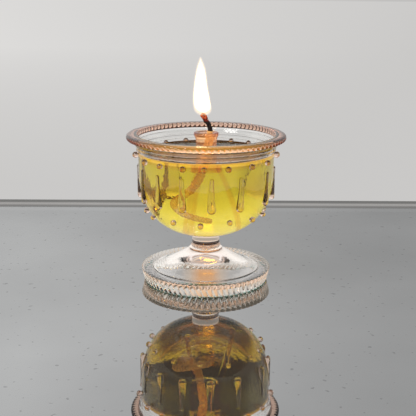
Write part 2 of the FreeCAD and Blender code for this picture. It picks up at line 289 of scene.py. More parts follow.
def lamp_look(nodes):
    """Colour and painted light of the bowl, stem and foot. The foot's thick edge is green where it
    meets the table, and a dark line of painted shade runs over the stem's ring. The ribs, the stem
    and the crest of the bell's front get painted flame light, and the crest is also dimmed as
    painted shade."""
    x, y, z = nodes.parts()
    across = nodes.length(x, y)
    off_edge = nodes.math("MAXIMUM", nodes.spread(z, 0.1, 1.0),
                          nodes.math("LESS_THAN", across, foot_high_radius - 2.6))
    edge_tint = nodes.ramp(off_edge, [
        (0.0, (0.02, 0.15, 0.12)), (0.5, (0.20, 0.50, 0.44)), (1.0, clear)])
    # Painted shade: a near-black band just over the stem's ring.
    stem_painted_shade = nodes.ramp(nodes.spread(z, 18.0, 20.0), [
        (0.04, white), (0.08, (0.02, 0.012, 0.01)), (0.76, (0.03, 0.018, 0.015)), (0.88, white)])
    # Painted light and shade on the bell's front crest: what shows through is dimmed and a flat
    # painted light is added.
    from_crest = nodes.length(nodes.spread(x, -12.0, 12.0, -1.0, 1.0),
                              nodes.spread(y, -7.0, -4.0),
                              nodes.spread(z, 10.4, 15.4, -1.0, 1.0))
    crest = nodes.spread(from_crest, 0.6, 1.0, 1.0, 0.0)
    tint = nodes.tinted(edge_tint, nodes.blend(crest, stem_painted_shade, (0.34, 0.35, 0.40)))
    # Painted flame light on the foot's ribbed band, from this height mask and the band's radius.
    band_height = nodes.ramp(nodes.spread(z, 0.0, 7.0), [
        (0.08, black), (0.20, white), (0.88, white), (0.94, black)])
    ribs = nodes.times(nodes.spread(across, 29.3, 29.9), band_height)
    # Painted flame light on the stem above its ring.
    stem_painted_light = nodes.ramp(nodes.spread(z, 18.0, 24.0), [
        (0.26, black), (0.33, (0.36, 0.32, 0.28)), (0.76, (0.42, 0.35, 0.28)), (0.80, black)])
    painted_glow = nodes.blend(crest, stem_painted_light, (0.40, 0.355, 0.33))
    return tint, nodes.blend(ribs, painted_glow, (0.16, 0.134, 0.099))


def glass_material(name, ripple, index=1.5, painted_warmth=0.0, painted_glow=None, in_oil=False, whole=False):
    """Clear blown glass with a faint ripple. painted_warmth is how strongly light turns brown on
    its way through, a tint that stands in for the flame's warm light as painted light, and
    painted_glow the colour and strength of painted flame light on its front. in_oil is for what
    stands in the oil, which bends light nearly as much, so that the step between the two is small:
    above the oil it has painted flame light, most on its right. whole is for the bowl, stem and
    foot."""
    material, nodes = new_material(name)
    wave = nodes.noise(220, 2.0)
    fine = nodes.noise(900, 3.0)
    height = nodes.math("ADD", wave, nodes.times(fine, 0.15))
    values = {
        "Base Color": clear,
        "Roughness": nodes.spread(fine, 0.4, 0.8, 0.0, 0.02),
        "Transmission Weight": 1.0,
        "IOR": index,
        "Normal": nodes.bump(height, ripple, 0.4),
    }
    if painted_glow:
        colour, values["Emission Strength"] = painted_glow
        # Painted flame light, on the front side only.
        values["Emission Color"] = nodes.ramp(nodes.spread(nodes.parts()[1], -20.0, -37.0), [
            (0.0, black), (0.4, tuple(0.4 * c for c in colour)), (1.0, colour)])
    if whole:
        values["Base Color"], values["Emission Color"] = lamp_look(nodes)
        values["Emission Strength"] = 1.0
    if in_oil:
        x, y, z = nodes.parts()
        # Painted flame light above the oil, stronger on the right.
        painted_lit_share = nodes.times(nodes.spread(z, oil_level + 0.5, oil_level + 2.0),
                          nodes.spread(x, -4.5, 2.0, 0.45, 1.0))
        values["Emission Color"] = nodes.ramp(painted_lit_share, [
            (0.0, black), (0.45, (0.36, 0.19, 0.14)), (1.0, (1.0, 0.38, 0.20))])
        values["Emission Strength"] = 0.085
        values["IOR"] = sunk_index(nodes, 1.02, index)
    shader = nodes.add("ShaderNodeBsdfPrincipled", values)
    inside = None
    # The brown tint stands in for the flame's warm light: painted light.
    if painted_warmth:
        inside = nodes.add("ShaderNodeVolumeAbsorption", {
            "Color": (0.84, 0.36, 0.08), "Density": painted_warmth})
    nodes.out(let_light_through(nodes, shader, (0.97, 0.975, 0.97)), inside)
    return material


def oil_material(name, in_oil=False):
    """Clear yellow lamp oil, paler towards its bottom and more yellow towards its top, with orange
    just under its level, all as painted light. A painted orange light runs along its front edge at
    the wall, and the bowl oil's flat top is darkened as painted shade. in_oil is for oil that
    stands partly in the rest of it."""
    material, nodes = new_material(name)
    drift = nodes.noise(60, 2.0)
    x, y, z = nodes.parts()
    across = nodes.length(x, y)
    at_wall = nodes.spread(across, inner_radius - 1.0, inner_radius - 0.3)
    # Painted light: paler towards the bottom, more yellow higher up, orange just under the level.
    painted_height_tint = nodes.ramp(nodes.spread(z, 28.0, 62.0), [
        (0.0, (1.0, 1.0, 0.95)), (0.35, (1.0, 0.98, 0.55)), (0.90, (0.98, 0.94, 0.22)),
        (0.975, (1.0, 0.60, 0.12))])
    # Painted orange light along the front of the oil's edge at the wall.
    edge = nodes.times(at_wall, nodes.spread(y, 10.0, -5.0),
                       nodes.spread(z, oil_level - 1.0, oil_level - 0.6))
    under_surface = nodes.math("MAXIMUM", at_wall, nodes.math("LESS_THAN", z, oil_level - 1.8))
    if in_oil:
        top_surface_shade = (1.0, 0.97, 0.80)
        index = sunk_index(nodes, 1.0, oil_index)
    else:
        # Painted shade: the oil's flat top is darkened.
        top_surface_shade = (0.52, 0.49, 0.40)
        flat_top = nodes.times(nodes.math("GREATER_THAN", z, oil_level - 0.15),
                               nodes.math("LESS_THAN", across, inner_radius - 1.2))
        index = nodes.spread(flat_top, 0.0, 1.0, oil_index, 1.12)
    shader = nodes.add("ShaderNodeBsdfPrincipled", {
        "Base Color": nodes.blend(under_surface, top_surface_shade, painted_height_tint),
        "Emission Color": nodes.ramp(edge, [(0.0, black), (1.0, (1.0, 0.62, 0.10))]),
        "Emission Strength": 0.30,
        "Specular Tint": nodes.ramp(nodes.spread(z, oil_level - 0.6, oil_level - 0.1), [
            (0.0, white), (1.0, (0.35, 0.38, 0.40))]),
        "Roughness": 0.0,
        "Transmission Weight": 1.0,
        "IOR": index,
        "Normal": nodes.bump(drift, 0.04, 0.4),
    })
    soaked = nodes.add("ShaderNodeVolumeAbsorption", {
        "Color": (0.99, 0.92, 0.25), "Density": 50.0})
    nodes.out(let_light_through(nodes, shader, white), soaked)
    return material


def cotton_material(name, painted_glow, cover=1.0):
    """Cotton soaked in oil. painted_glow is how strongly the flame's heat and light are painted on
    it, as emission in its own colour, and cover how much of what is behind it is hidden."""
    material, nodes = new_material(name)
    fibre = nodes.noise(1500, 4.0, stretch=(1.0, 1.0, 0.25))
    patch = nodes.noise(260, 3.0)
    uneven = nodes.math("ADD", nodes.times(fibre, 0.6), nodes.times(patch, 0.4))
    colour = nodes.ramp(uneven, [
        (0.30, (0.30, 0.12, 0.03)), (0.50, (0.62, 0.28, 0.07)), (0.72, (0.86, 0.52, 0.20))])
    nodes.out(nodes.add("ShaderNodeBsdfPrincipled", {
        "Base Color": colour,
        "Roughness": nodes.spread(fibre, 0.3, 0.7, 0.45, 0.75),
        "Sheen Weight": 0.15,
        # Painted light: the cotton shines in its own colour.
        "Emission Color": colour,
        "Emission Strength": painted_glow,
        "Alpha": cover,
        "Normal": nodes.bump(fibre, 0.6, 0.3),
    }))
    return material


def char_material(ember_from, ember_full):
    """Burnt cotton: black crumbs, red to orange where it still glows near its tip."""
    material, nodes = new_material("burnt_cotton")
    crumb = nodes.noise(1100, 5.0)
    hot = nodes.spread(nodes.parts()[2], ember_from, ember_full)
    speckled = nodes.times(hot, nodes.spread(crumb, 0.38, 0.62, 0.1, 1.0))
    nodes.out(nodes.add("ShaderNodeBsdfPrincipled", {
        "Base Color": nodes.ramp(crumb, [
            (0.35, (0.006, 0.004, 0.004)), (0.7, (0.045, 0.025, 0.02))]),
        "Roughness": nodes.spread(crumb, 0.3, 0.7, 0.55, 0.95),
        "Emission Color": nodes.ramp(speckled, [
            (0.0, black), (0.35, (0.45, 0.03, 0.004)), (0.8, (1.0, 0.30, 0.06))]),
        "Emission Strength": 0.9,
        "Normal": nodes.bump(crumb, 0.9, 0.6),
    }))
    return material


def flame_material(name, colour, strength, cover):
    """Light that adds to what is behind it. cover is how much of that it hides."""
    material, nodes = new_material(name)
    flicker = nodes.noise(120, 2.0, stretch=(1.0, 1.0, 0.3))
    power = nodes.times(nodes.spread(flicker, 0.2, 0.8, 0.94, 1.06), strength)
    path = nodes.add("ShaderNodeLightPath").outputs
    seen = nodes.math("SUBTRACT", 1.0, path["Is Diffuse Ray"])
    light = nodes.add("ShaderNodeEmission", {"Color": colour, "Strength": nodes.times(power, seen)})
    behind = nodes.add("ShaderNodeBsdfTransparent", {"Color": (1 - cover,) * 3})
    nodes.out(nodes.add("ShaderNodeAddShader", {0: light.outputs[0], 1: behind.outputs[0]}))
    return material


def mesh_piece(name, points, faces, material, crease=None):
    """Object from points in millimetres, smooth but for edges sharper than crease degrees."""
    mesh = bpy.data.meshes.new(name)
    mesh.from_pydata([tuple(p) for p in np.asarray(points) * METRE], [], faces)
    mesh.materials.append(material)
    mesh.validate()
    turned = bmesh.new()
    turned.from_mesh(mesh)
    bmesh.ops.recalc_face_normals(turned, faces=turned.faces)
    turned.to_mesh(mesh)
    turned.free()
    mesh.shade_smooth()
    if crease:
        mesh.set_sharp_from_angle(angle=math.radians(crease))
    made = bpy.data.objects.new(name, mesh)
    bpy.context.scene.collection.objects.link(made)
    return made


def place(piece, body, slot, *nodes):
    """The piece rides on a body and stands for CAD nodes, which are hidden. slot is not used."""
    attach(piece, body)
    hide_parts(*nodes)


def strip(rows, closed_round, closed_along):
    """Quads between neighbouring rows of point numbers, with fans where a row is one point."""
    faces = []
    pairs = list(zip(rows, rows[1:]))
    if closed_along:
        pairs.append((rows[-1], rows[0]))
    for low, high in pairs:
        count = max(len(low), len(high))
        steps = count if closed_round else count - 1
        for i in range(steps):
            j = (i + 1) % count
            if len(low) == 1:
                faces.append((low[0], high[j], high[i]))
            elif len(high) == 1:
                faces.append((low[i], low[j], high[0]))
            else:
                faces.append((low[i], low[j], high[j], high[i]))
    return faces


def revolved(name, section, columns, material, shape=None, crease=None):
    """Solid of a section of (radius, height) turned about the Z axis. The section runs
    counterclockwise, outside going up, from pole to pole or round a closed loop. shape changes a
    ring: it takes its number, angles, radii and heights, and gives angles, radii and heights."""
    points = []
    rows = []
    angles = np.linspace(0, 2 * math.pi, columns, endpoint=False)
    for number, (radius, height) in enumerate(section):
        if radius < 1e-6:
            rows.append([len(points)])
            points.append((0.0, 0.0, height))
            continue
        turned, radii, heights = angles, np.full(columns, radius), np.full(columns, height)
        if shape:
            turned, radii, heights = shape(number, turned, radii, heights)
        rows.append(list(range(len(points), len(points) + columns)))
        points += zip(radii * np.sin(turned), -radii * np.cos(turned), heights)
    loop = section[0][0] > 1e-6
    return mesh_piece(name, points, strip(rows, True, loop), material, crease)


def run(start, end, steps):
    """Points from start towards end, without the end."""
    return [(start[0] + (end[0] - start[0]) * i / steps,
             start[1] + (end[1] - start[1]) * i / steps) for i in range(steps)]


def bend(centre, radius, start, end, steps):
    """Points of an arc between two angles in degrees from +radius, counterclockwise up."""
    turns = [math.radians(start + (end - start) * i / steps) for i in range(steps + 1)]
    return [(centre[0] + radius * math.cos(t), centre[1] + radius * math.sin(t)) for t in turns]


def curve_through(points, steps):
    """Smooth curve through points of any size, steps to each run, with both ends."""
    knots = [np.array(p, float) for p in points]
    knots = [2 * knots[0] - knots[1], *knots, 2 * knots[-1] - knots[-2]]
    made = []
    for a, b, c, d in zip(knots, knots[1:], knots[2:], knots[3:]):
        for i in range(steps):
            t = i / steps
            made.append(0.5 * (2 * b + (c - a) * t + (2 * a - 5 * b + 4 * c - d) * t ** 2
                               + (3 * b - a - 3 * c + d) * t ** 3))
    return [tuple(p) for p in made] + [tuple(points[-1])]


def belly_section(radius, base, steps):
    """The belly's rounded section, from its lowest point to the straight wall."""
    made = []
    for i in range(steps + 1):
        turn = math.pi / 2 * i / steps
        across = radius * abs(math.sin(turn)) ** (2 / belly_fullness)
        depth = (belly_top - base) * abs(math.cos(turn)) ** (2 / belly_fullness)
        made.append((across, belly_top - depth))
    made[0] = (0.0, base)
    return made


def belly_height(across, radius, base):
    """Height of the belly's surface at a distance from the axis."""
    share = min(1.0, across / radius)
    return belly_top - (belly_top - base) * (1 - share ** belly_fullness) ** (1 / belly_fullness)


def wall_radius(height):
    """Radius of the bowl's outer surface at a height."""
    if height < belly_top:
        depth = min(1.0, (belly_top - height) / (belly_top - bowl_base))
        return bowl_radius * (1 - depth ** belly_fullness) ** (1 / belly_fullness)
    rise = height - neck_base
    if rise < 0:
        return bowl_radius
    arc_radius = (neck_flare ** 2 + neck_height ** 2) / (2 * neck_flare)
    return bowl_radius + arc_radius - math.sqrt(max(0.0, arc_radius ** 2 - rise ** 2))


def neck_section(radius, steps):
    """The neck's section, from the straight wall to the rim, above a wall of a radius."""
    extra = radius - bowl_radius
    heights = [neck_base + neck_height * i / steps for i in range(steps + 1)]
    return [(wall_radius(h) + extra, h) for h in heights]


def kept_in_wall(point):
    """A point of a fused piece, brought out to just inside the bowl's outer surface."""
    x, y, z = point
    across = math.hypot(x, y)
    least = wall_radius(z) - fused
    if across >= least or across == 0:
        return point
    return (x * least / across, y * least / across, z)


def hand_wave(angles, heights, size, seed):
    """Slow unevenness that blowing and turning leave in a wall, in millimetres."""
    return size * (np.sin(2 * angles + 1.3 * seed + 0.05 * heights)
                   + 0.6 * np.sin(3 * angles - 0.09 * heights + seed)
                   + 0.4 * np.sin(7 * angles + 0.16 * heights + 2.1 * seed)) / 2


thread_glass = glass_material("thread_glass", 0.05, 1.12, painted_glow=((1.0, 0.52, 0.30), 0.17))
lamp_glass = glass_material("foot_glass", 0.10, painted_warmth=12.0, whole=True)
rim_glass = glass_material("rim_glass", 0.10, painted_warmth=240.0, painted_glow=((1.0, 0.60, 0.07), 0.19))
bead_glass = glass_material("bead_glass", 0.10, painted_warmth=220.0)
drop_glass = glass_material("drop_glass", 0.10, painted_warmth=140.0)
holder_glass = glass_material("holder_glass", 0.06, painted_warmth=200.0, in_oil=True)
bowl_oil = oil_material("lamp_oil")
tube_oil = oil_material("oil_in_the_tube", in_oil=True)
cotton = cotton_material("cotton", 0.55)
wet_cotton = cotton_material("wet_cotton", 0.25, 0.45)


def swept(name, path, material, size_at, lobes=3, lay=7.0, columns=36, rough=0.0, caps=(0.5, 0.5)):
    """Twisted cord along path points, with its size given along the path from 0 to 1. lobes is
    how many plies it has, or 0 for a plain rod, and lay the length of one turn of them. rough is
    how crumbled it is, and caps how far each end is rounded out."""
    places = [Vector(p) for p in path]
    lengths = [0.0]
    for a, b in zip(places, places[1:]):
        lengths.append(lengths[-1] + (b - a).length)
    total = lengths[-1]
    points = []
    rows = []
    side = Vector((0, 1, 0))
    for number, centre in enumerate(places):
        before = places[max(0, number - 1)]
        after = places[min(len(places) - 1, number + 1)]
        along = (after - before).normalized()
        side = (side - along * side.dot(along)).normalized()
        other = along.cross(side)
        share = lengths[number] / total
        size = size_at(share)
        end_gap = min(lengths[number], total - lengths[number])
        turn = 2 * math.pi * lengths[number] / lay
        row = []
        for column in range(columns):
            around = 2 * math.pi * column / columns
            ply = abs(math.cos((around - turn) * lobes / 2))
            radius = size * (1 - ply_depth + ply_depth * ply)
            if rough:
                spot = centre + (side * math.cos(around) + other * math.sin(around)) * size
                radius += rough * noise.noise(spot * 1.1) + rough * 0.5 * noise.noise(spot * 2.7)
            if end_gap < end_length:
                radius *= 1 - end_narrowing + end_narrowing * end_gap / end_length
            row.append(len(points))
            points.append(centre + (side * math.cos(around) + other * math.sin(around)) * radius)
        rows.append(row)
    first = (places[1] - places[0]).normalized()
    last = (places[-1] - places[-2]).normalized()
    points.append(places[0] - first * caps[0])
    rows.insert(0, [len(points) - 1])
    points.append(places[-1] + last * caps[1])
    rows.append([len(points) - 1])
    return mesh_piece(name, [tuple(p) for p in points], strip(rows, True, False), material)


def curve_points(points, order, name):
    """A smooth open spline with these control points, and the points along its line."""
    data = bpy.data.curves.new(name, "CURVE")
    data.dimensions = "3D"
    data.resolution_u = 16
    spline = data.splines.new("NURBS")
    spline.points.add(len(points) - 1)
    for target, point in zip(spline.points, points):
        target.co = (*(Vector(point) * METRE), 1.0)
    spline.order_u = order
    spline.use_endpoint_u = True
    made = bpy.data.objects.new(name, data)
    bpy.context.scene.collection.objects.link(made)
    bpy.context.view_layer.update()
    mesh = bpy.data.meshes.new_from_object(made)
    line = [v.co.copy() for v in mesh.vertices]
    bpy.data.meshes.remove(mesh)
    bpy.data.objects.remove(made)
    bpy.data.curves.remove(data)
    return line


# The wick's free end, a limp cord in the oil
tail_line = curve_points(tail_route, 3, "tail_line")
tail = swept("wick_free_end", [p / METRE for p in tail_line], wet_cotton,
             lambda share: wick_radius, caps=(0.0, 0.6))
place(tail, "wick", "cotton", "wick_tail")

# Outer side of the bowl, from the stem's collar up and over its lip, and its inner side
mouth_radius = inner_radius + neck_flare
lip_radius = bowl_radius + neck_flare
outer_side = [(r, z) for r, z in belly_section(bowl_radius, bowl_base, 44)
              if r > collar_radius + 0.1]
outer_side += run((bowl_radius, belly_top), (bowl_radius, neck_base), 6)[1:]
outer_side += neck_section(bowl_radius, 8)
outer_side += [(lip_radius, rim_top - 1.4), (lip_radius, rim_top - 0.12),
               (lip_radius - 0.25, rim_top - 0.03), (lip_radius - 0.6, rim_top)]
outer_side += bend((mouth_radius + 0.8, rim_top - 0.8), 0.8, 90, 180, 6)
inner_side = [(mouth_radius, rim_top - 1.8)]
inner_side += neck_section(inner_radius, 8)[::-1]
inner_side += run((inner_radius, neck_base), (inner_radius, belly_top), 6)[1:]
inner_side += belly_section(inner_radius, inner_base, 44)[::-1]


def rib_valley(angles, count):
    """0 on the crest of each rib and 1 in the sharp valley between two."""
    return 1 - np.abs(np.cos(angles * count / 2)) ** 0.8


# Ribbed rim, and how deep its ribs are at each point of its section
rim_section = [
    (lip_radius - fused, rim_base), (35.2, rim_base), (36.4, rim_base + 0.05),
    (37.05, rim_base + 0.3), (37.4, rim_base + 0.7), (37.5, rim_base + 1.1),
    (37.5, rim_base + 1.5), (37.45, rim_base + 1.9), (37.2, rim_base + 2.35),
    (36.7, rim_base + 2.65), (35.9, rim_top - 0.02), (35.0, rim_top),
    (lip_radius - fused, rim_top - 0.05), (lip_radius - fused, rim_base + 1.4),
]
rim_rib_depths = (0.0, 0.44, 0.88, 1.045, 0.935, 0.66, 0.33, 0.11, 0.0, 0.0, 0.0, 0.0, 0.0, 0.0)


def rim_shape(number, angles, radii, heights):
    """Leaning ribs on the rim's outer side."""
    cut = rim_rib_depths[number] * rib_valley(angles, rim_ribs)
    rise = (heights[0] - rim_base) / (rim_top - rim_base)
    return angles - rim_rib_lean / rim_radius * rise, radii - cut, heights


rim = revolved("rim_ribs", rim_section, rim_ribs * 10, rim_glass, rim_shape, 60)
place(rim, "lamp", "clear_glass", "rim_rope")

# Foot, stem and bowl, fused to one piece of glass. The foot has a hollow, a ribbed band and a
# low bell, and the stem a ring and a collar under the bowl.
dome_inner = curve_through([(0.0, 10.0), (9.5, 8.87), (18.48, 5.84), (dome_radius, 3.7)], 12)
dome_outer = curve_through([(dome_radius, foot_top), (25.7, 6.42), (24.7, 6.95), (19.94, 8.56),
                            (13.24, 12.09), (9.3, 14.5), (7.6, dome_top)], 10)
band_section = [
    (dome_radius, 1.9), (dome_radius, 0.0), (28.2, 0.0), (28.9, 0.12), (29.45, 0.5),
    (29.75, 1.1), (29.95, 1.8), (30.15, 2.8), (30.45, 4.0), (30.75, 5.2), (30.95, 5.9),
    (31.1, 6.3), (31.0, 6.58), (30.5, foot_top), (28.5, foot_top),
]
band_weights = (0.0, 0.0, 0.5, 1.2, 1.7, 1.7, 1.3, 1.1, 1.0, 0.95, 0.8, 0.6, 0.4, 0.15, 0.0)
stem_section = bend((6.0, dome_top + 1.1), 1.1, -84, 84, 12)
collar_top = belly_height(collar_radius, bowl_radius, bowl_base)
stem_section += curve_through([(6.6, ring_top + 0.1), (6.5, 20.2), (6.6, 22.0),
                               (collar_radius, collar_top)], 6)
foot_section = dome_inner + band_section + dome_outer + stem_section
rib_weights = [0.0] * len(dome_inner) + list(band_weights)
rib_weights += [0.0] * (len(dome_outer) + len(stem_section))


def lamp_shape(number, angles, radii, heights):
    """Leaning ribs on the foot's band, and unevenness of the bell and of the bowl's inner wall."""
    turned = angles - foot_rib_lean / foot_high_radius * min(heights[0], foot_top) / foot_top
    if number < len(foot_section):
        cut = foot_rib_depth * rib_weights[number] * rib_valley(angles, foot_ribs)
        free = np.clip((radii - 8) / 4, 0, 1) * np.clip((25.5 - radii) / 3, 0, 1)
        return turned, radii - cut, heights + free * hand_wave(angles, radii, 0.12, 3.0)
    if number < len(foot_section) + len(outer_side):
        return turned, radii, heights
    free = np.clip((rim_top - 2 - heights) / 8, 0, 1) * np.clip(radii / inner_radius, 0, 1) ** 2
    return turned, radii + free * hand_wave(angles, heights, 0.16, 1.0), heights


blown_glass = revolved("blown_glass_lamp", foot_section + outer_side + inner_side,
                       foot_ribs * 10, lamp_glass, lamp_shape, 60)
place(blown_glass, "lamp", "clear_glass",
      "bowl", "foot_rope", "foot_dome", "stem_ring", "stem_collar")


def ring_round_neck(name, height, seed):
    """A thread of glass wound round the neck, a little uneven, fused to the wall."""
    columns, around = 240, 18
    points = []
    rows = []
    for column in range(columns):
        angle = 2 * math.pi * column / columns
        level = height + float(hand_wave(np.array(angle), np.array(0.0), 0.14, seed))
        thick = thread_radius + 0.06 * math.sin(5 * angle + seed)
        middle = wall_radius(level)
        row = []
        for i in range(around):
            turn = -2 * math.pi * i / around
            across = middle + thick * math.cos(turn)
            row.append(len(points))
            points.append(kept_in_wall((across * math.sin(angle), -across * math.cos(angle),
                                        level + thick * math.sin(turn))))
        rows.append(row)
    return mesh_piece(name, points, strip(rows, True, True), thread_glass, 60)


for name, share, seed in (("neck_thread_lower", 0.18, 1.0), ("neck_thread_upper", 0.60, 2.0)):
    thread = ring_round_neck("glass_" + name, neck_base + neck_height * share, seed)
    place(thread, "lamp", "clear_glass", name)


def ball_points(centre, radius, squash, rows_up=14, columns=22):
    """Points and faces of a small ball, flattened or drawn out along Z."""
    points = [(centre[0], centre[1], centre[2] - radius * squash)]
    rows = [[0]]
    for i in range(1, rows_up):
        tilt = math.pi * i / rows_up
        row = []
        for j in range(columns):
            turn = 2 * math.pi * j / columns
            row.append(len(points))
            points.append((centre[0] + radius * math.sin(tilt) * math.cos(turn),
                           centre[1] + radius * math.sin(tilt) * math.sin(turn),
                           centre[2] - radius * squash * math.cos(tilt)))
        rows.append(row)
    points.append((centre[0], centre[1], centre[2] + radius * squash))
    rows.append([len(points) - 1])
    return points, strip(rows, True, False)


def bead_row(name, places, radius, stand_off, drop, seed):
    """Fused beads in one mesh, each a little unlike the next, from turns and heights on the wall.
    stand_off is how far each bead's middle is out from there, and drop how far below."""
    points = []
    faces = []
    for number, (share, height) in enumerate(places):
        angle = 2 * math.pi * share
        size = radius * (1 + 0.05 * math.sin(number * 2.4 + seed))
        drawn = 1 + 0.06 * math.sin(number * 1.7 + seed)
        out = wall_radius(height) + stand_off
        centre = (out * math.sin(angle), -out * math.cos(angle), height - drop)
        ball, ball_faces = ball_points(centre, size, drawn)
        faces += [tuple(len(points) + i for i in face) for face in ball_faces]
        points += [kept_in_wall(p) for p in ball]
    return mesh_piece(name, points, faces, bead_glass, 60)


upper_bead_places = [
    (share, neck_base - upper_bead_drop - upper_bead_lean * math.cos(2 * math.pi * share))
    for share in upper_bead_turns]
beads = bead_row("glass_upper_beads", upper_bead_places, upper_bead_radius,
                 stand_off=1.25, drop=0.0, seed=0.4)
place(beads, "lamp", "clear_glass", "upper_beads")
beads = bead_row("glass_lower_beads", lower_bead_places, lower_bead_radius,
                 stand_off=0.82, drop=0.57, seed=1.9)
place(beads, "lamp", "clear_glass", "lower_beads")


def drop(name, share, seed):
    """One long drop that ran down the wall: thin at the top and round at its end."""
    end_level = trail_top - trail_length + trail_radius
    first_out = bowl_radius + trail_stand_off
    last_out = wall_radius(end_level) + trail_end_stand_off
    angle = 2 * math.pi * share
    sideways = 0.25 * math.sin(seed * 2.3)
    rows_down, columns = 40, 24
    points = []
    rows = []
    for i in range(rows_down + 1):
        level = trail_top - trail_length * (1 - math.cos(math.pi * i / rows_down)) / 2
        depth = trail_top - level
        part = (depth - trail_top_radius) / (trail_length - trail_radius - trail_top_radius)
        swell = min(1.0, max(0.0, part)) ** 1.25
        swell = trail_top_radius + (trail_radius - trail_top_radius) * swell
        if depth < trail_top_radius:
            swell = math.sqrt(max(0.0, trail_top_radius ** 2 - (trail_top_radius - depth) ** 2))
        elif level < end_level:
            swell = math.sqrt(max(0.0, trail_radius ** 2 - (end_level - level) ** 2))
        waist = 0.10 * math.sin(math.pi * min(1.0, depth / 9.0)) * (0.6 + 0.4 * math.sin(seed))
        swell *= 1 - waist
        down = min(1.0, depth / (trail_length - trail_radius))
        middle = first_out + (last_out - first_out) * down
        shift = sideways * math.sin(math.pi * down)
        if swell < 1e-6:
            rows.append([len(points)])
            points.append(kept_in_wall((middle * math.sin(angle), -middle * math.cos(angle),
                                        level)))
            continue
        row = []
        for j in range(columns):
            turn = 2 * math.pi * j / columns
            out = middle + trail_flatness * swell * math.cos(turn)
            side = shift + swell * math.sin(turn)
            row.append(len(points))
            points.append(kept_in_wall((out * math.sin(angle) + side * math.cos(angle),
                                        -out * math.cos(angle) + side * math.sin(angle), level)))
        rows.append(row)
    return mesh_piece(name, points, strip(rows, True, False), drop_glass, 60)


for number, share in enumerate(trail_turns, 1):
    place(drop(f"glass_drop_{number:02d}", share, float(number)),
          "lamp", "clear_glass", f"drop_trail_{number:02d}")

# Oil, with its edge drawn up at the wall
oil_radius = inner_radius + oil_overlap
oil_section = belly_section(oil_radius, inner_base - oil_overlap, 40)
oil_section += [(oil_radius, 57.0), (oil_radius, 60.0)]
oil_section += [(oil_radius, oil_level + oil_climb), (inner_radius, oil_level + oil_climb)]
oil_section += [(inner_radius - gap, oil_level + oil_climb * math.exp(-gap / oil_climb_fall))
                for gap in (0.15, 0.3, 0.5, 0.8, 1.2, 1.8, 2.6)]
oil_section += [(24.0, oil_level), (16.0, oil_level), (8.0, oil_level), (0.0, oil_level)]
oil = revolved("yellow_oil", oil_section, 160, bowl_oil, crease=60)
place(oil, "lamp", "lamp_oil", "oil")

# Wick holder: tube and legs
tube_section = [(tube_bore, tube_base), (tube_radius - 0.3, tube_base),
                (tube_radius, tube_base + 0.3), (tube_radius, 60.0), (tube_radius, 66.0)]
tube_section += curve_through([(tube_radius, 67.5), (5.15, 69.0), (tube_lip - 0.06, 70.4),
                               (tube_lip, tube_top - 0.6)], 4)
tube_section += bend((tube_lip - 0.6, tube_top - 0.6), 0.6, 15, 90, 5)
tube_section += bend((tube_bore + 0.5, tube_top - 0.5), 0.5, 90, 180, 5)
tube_section += [(tube_bore, 66.0), (tube_bore, 60.0)]
tube = revolved("holder_tube", tube_section, 96, holder_glass, crease=60)
place(tube, "wick_holder", "holder_glass", "wick_tube")


def leg_size(share):
    """Radius of a leg along its length, with a thicker foot."""
    return leg_radius + (leg_foot_radius - leg_radius) * max(0.0, (share - 0.86) / 0.14) ** 0.5


for number, degrees in enumerate(leg_angles, 1):
    angle = math.radians(degrees)
    foot_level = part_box(f"holder_leg_{number}")[0].z / METRE + leg_foot_radius
    path = [(3.9, tube_base + 2.6), (7.2, 47.0), (10.2, 38.0), (12.2, foot_level + 3.0),
            (leg_spread - 0.3, foot_level)]
    path = [(r * math.cos(angle), r * math.sin(angle), z) for r, z in curve_through(path, 6)]
    leg = swept(f"holder_glass_leg_{number}", path, holder_glass, leg_size,
                lobes=0, columns=20, caps=(0.3, 1.2))
    place(leg, "wick_holder", "holder_glass", f"holder_leg_{number}")

# Oil that the tube draws up round the wick, with its edge higher at the glass
tube_oil_section = [(0.0, tube_base + 0.2), (tube_bore + 0.05, tube_base + 0.2),
                    (tube_bore + 0.05, 62.0), (tube_bore + 0.05, 70.6), (tube_bore, 70.6),
                    (tube_bore - 0.3, 70.35), (tube_bore - 0.9, 70.15), (0.0, 70.1)]
drawn_up = revolved("oil_in_tube", tube_oil_section, 96, tube_oil, crease=60)
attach(drawn_up, "wick_holder")

# Wick in the tube, and its burnt end
wick_path = [(wick_low_across + (wick_across - wick_low_across) * i / 60, 0.0,
              tube_base + (char_base - tube_base) * i / 60) for i in range(61)]
wick = swept("wick_cord", wick_path, cotton, lambda share: wick_radius, caps=(0.0, 0.0))
place(wick, "wick", "cotton", "wick")
char_path = curve_through([(wick_across, 0.0, char_base), (1.75, 0.0, 73.2), (1.25, 0.0, 75.0),
                           (0.1, 0.0, 76.9), (-1.0, 0.0, 78.7), (-1.75, 0.0, 80.2)], 10)
char = swept("wick_burnt_end", char_path, char_material(76.6, 80.4),
             lambda share: 1.25 - 0.18 * math.sin(math.pi * min(1.0, share * 1.3)) + 0.1 * share,
             lay=9.0, columns=48, rough=0.22, caps=(0.0, 0.7))
place(char, "wick", "burnt_cotton", "wick_char")

# Flame: outline as (height over the rim, middle, half width)
flame_outline = [
    (7.7, -1.30, 0.0), (8.3, -1.35, 1.9), (9.2, -1.45, 3.25), (10.3, -1.60, 4.05),
    (11.8, -1.80, 4.40), (14.3, -2.15, 4.35), (17.5, -2.45, 4.10), (20.9, -2.65, 3.65),
    (25.5, -2.68, 3.10), (29.8, -2.63, 2.42), (32.2, -2.70, 1.75), (33.9, -2.76, 1.10),
    (35.0, -2.80, 0.55), (35.6, -2.80, 0.0),
]


